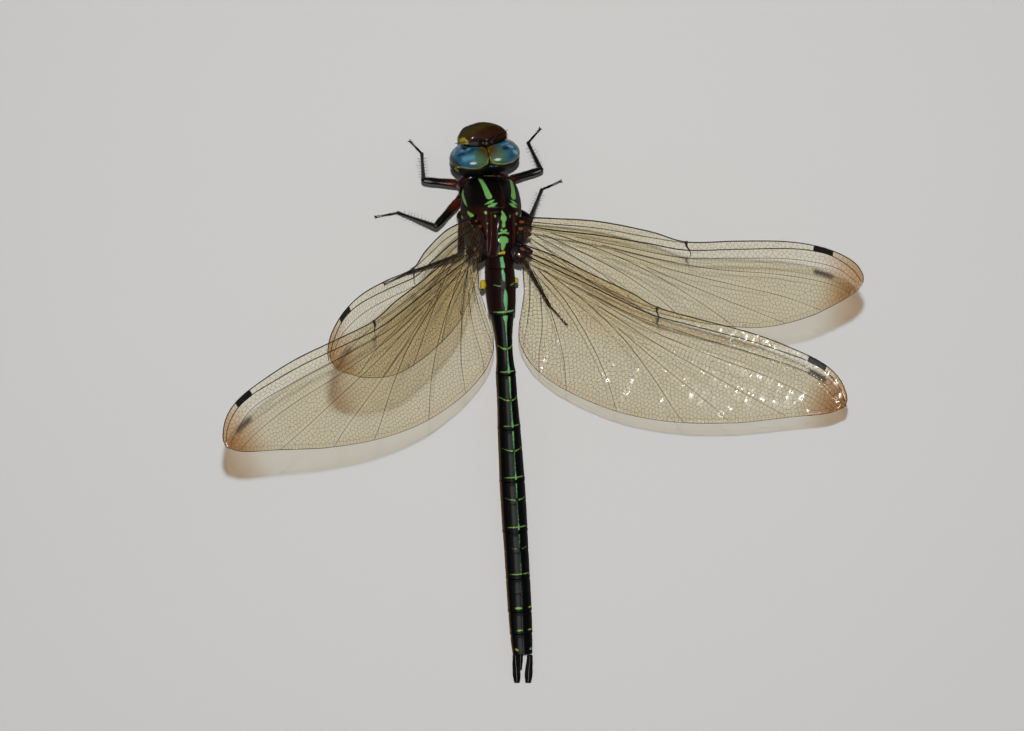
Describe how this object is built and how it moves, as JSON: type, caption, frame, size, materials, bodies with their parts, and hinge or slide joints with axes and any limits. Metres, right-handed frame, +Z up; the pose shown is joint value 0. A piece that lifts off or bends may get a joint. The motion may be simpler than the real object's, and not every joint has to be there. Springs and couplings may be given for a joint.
{
  "type": "dragonfly model",
  "caption": "Life-size still model of an adult male swamp darner dragonfly, crouched on its feet with its long net-veined wings half raised.",
  "frame": {"origin": "on the floor, under the middle of the whole model's bounding box, wings included", "axes": "+X to the animal's right, across the spread wings; +Y towards the head, along the body; +Z up from the floor"},
  "size_m": [0.0918, 0.0866, 0.0629],
  "materials": {
    "dark_cuticle": "dark red-brown insect cuticle with a soft gloss, marked with green stripes",
    "face_cuticle": "glossy red-brown cuticle, olive-yellow at the front edge",
    "compound_eye": "glossy blue to teal eye with a yellow rear rim",
    "abdomen_cuticle": "glossy black cuticle with thin green rings and marks",
    "black_cuticle": "glossy black cuticle, red-brown on the femurs",
    "wing_membrane": "clear amber-tinted membrane on a net of black veins"
  },
  "bodies": {
    "root": {"head": "dark_cuticle", "face": "face_cuticle", "jaws": "face_cuticle", "eye_left": "compound_eye", "antenna_left": "black_cuticle", "eye_right": "compound_eye", "antenna_right": "black_cuticle", "synthorax": "dark_cuticle", "prothorax": "dark_cuticle", "abdomen_01": "abdomen_cuticle", "abdomen_02": "abdomen_cuticle", "abdomen_03": "abdomen_cuticle", "abdomen_04": "abdomen_cuticle", "abdomen_05": "abdomen_cuticle", "abdomen_06": "abdomen_cuticle", "abdomen_07": "abdomen_cuticle", "abdomen_08": "abdomen_cuticle", "abdomen_09": "abdomen_cuticle", "abdomen_10": "abdomen_cuticle", "cercus_left": "black_cuticle", "cercus_right": "black_cuticle", "epiproct": "black_cuticle", "wing_fore_right": "wing_membrane", "wing_hind_right": "wing_membrane", "wing_hind_left": "wing_membrane", "wing_fore_left": "wing_membrane", "femur_fore_left": "black_cuticle", "femur_fore_right": "black_cuticle", "femur_mid_left": "black_cuticle", "femur_mid_right": "black_cuticle", "femur_hind_left": "black_cuticle", "femur_hind_right": "black_cuticle", "tibia_fore_left": "black_cuticle", "tibia_fore_right": "black_cuticle", "tibia_mid_left": "black_cuticle", "tibia_mid_right": "black_cuticle", "tibia_hind_left": "black_cuticle", "tibia_hind_right": "black_cuticle", "tarsus_fore_left": "black_cuticle", "tarsus_fore_right": "black_cuticle", "tarsus_mid_left": "black_cuticle", "tarsus_mid_right": "black_cuticle", "tarsus_hind_left": "black_cuticle", "tarsus_hind_right": "black_cuticle"}
  },
  "joints": []
}
